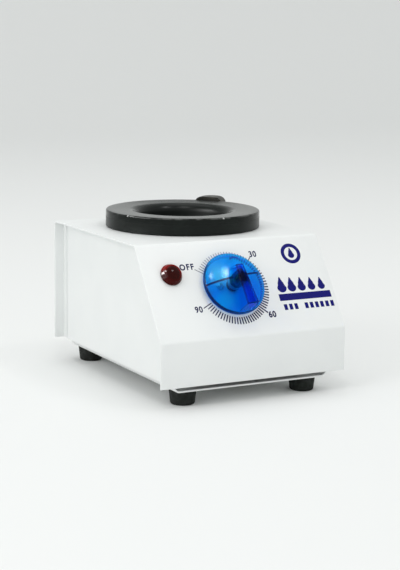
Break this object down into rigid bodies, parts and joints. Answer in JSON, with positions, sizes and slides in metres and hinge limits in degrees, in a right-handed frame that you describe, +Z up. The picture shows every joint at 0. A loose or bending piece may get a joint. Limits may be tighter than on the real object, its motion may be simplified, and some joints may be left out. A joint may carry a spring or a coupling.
{
  "type": "wax warmer",
  "caption": "Box-shaped wax warmer: folded white steel case on rubber feet, sloped dial panel with lamp, heated well, and a lift-out black cast pot with a wide rim and rear grip.",
  "frame": {"origin": "on the ground under the middle of the whole part, soles of the feet at z = 0", "axes": "+X to the right across the front, +Y from the sloped front to the back, +Z up"},
  "size_m": [0.185, 0.249, 0.1554],
  "materials": {
    "white_enamel": "white powder coat, satin, very fine texture",
    "black_rubber": "moulded black rubber, matt",
    "zinc_steel": "zinc-plated steel",
    "black_coat": "cast aluminium with a dark satin non-stick coat, chipped at the rim's edge",
    "black_resin": "brown-black heat-proof resin",
    "bare_aluminium": "spun aluminium",
    "mica_band": "steel-clad mica heater band, heat-tinted",
    "copper": "drawn copper tube",
    "brass": "turned brass",
    "dark_plastic": "black moulded plastic",
    "white_plastic": "off-white nylon",
    "blue_clear": "clear blue moulded plastic, polished",
    "red_clear": "clear dark red lens, polished",
    "blue_sleeve": "blue wire sleeve",
    "brown_sleeve": "brown wire sleeve",
    "white_sleeve": "white wire sleeve",
    "green_sleeve": "green wire sleeve with a yellow stripe"
  },
  "bodies": {
    "case": {"cover_shell": "white_enamel", "side_panel_left": "white_enamel", "side_panel_right": "white_enamel", "base_pan": "white_enamel", "foot_front_left": "black_rubber", "foot_front_right": "black_rubber", "foot_rear_left": "black_rubber", "foot_rear_right": "black_rubber", "foot_screw_front_left": "zinc_steel", "foot_screw_front_right": "zinc_steel", "foot_screw_rear_left": "zinc_steel", "foot_screw_rear_right": "zinc_steel", "heater_well": "bare_aluminium", "well_screw_1": "zinc_steel", "well_screw_2": "zinc_steel", "well_screw_3": "zinc_steel", "well_screw_4": "zinc_steel", "heat_shield": "zinc_steel", "band_heater": "mica_band", "heater_clamp_screw": "zinc_steel", "heater_clamp_nut": "zinc_steel", "thermal_cutout": "dark_plastic", "bulb_clip": "zinc_steel", "stud_nut_1": "zinc_steel", "stud_nut_2": "zinc_steel", "stud_nut_3": "zinc_steel", "stud_nut_4": "zinc_steel", "thermostat_body": "dark_plastic", "thermostat_screw_left": "zinc_steel", "thermostat_screw_right": "zinc_steel", "sensor_bulb_tube": "copper", "indicator_lens": "red_clear", "indicator_body": "dark_plastic", "indicator_nut": "white_plastic", "cord_gland": "dark_plastic", "gland_nut": "dark_plastic", "terminal_block": "white_plastic", "block_screw": "zinc_steel", "earth_screw": "brass", "earth_tag": "brass", "earth_nut": "brass", "lamp_lead_left": "white_sleeve", "lamp_lead_right": "white_sleeve", "live_lead": "brown_sleeve", "earth_lead": "green_sleeve", "cutout_lead": "brown_sleeve", "heater_lead": "brown_sleeve", "return_lead": "blue_sleeve"},
    "dial": {"knob": "blue_clear", "knob_clip": "zinc_steel", "thermostat_shaft": "brass"},
    "pot": {"wax_pot": "black_coat", "pot_grip": "black_resin", "grip_screw": "zinc_steel"}
  },
  "joints": [
    {"name": "dial_turn", "type": "hinge", "parent": "case", "child": "dial", "pos_m": [-0.0094, -0.08816, 0.09891], "axis": [0, -0.8243, 0.5662], "range_deg": [-247.4, 54.1]},
    {"name": "pot_lift", "type": "slide", "parent": "case", "child": "pot", "axis": [0, 0, 1], "range_m": [0, 0.075]}
  ]
}
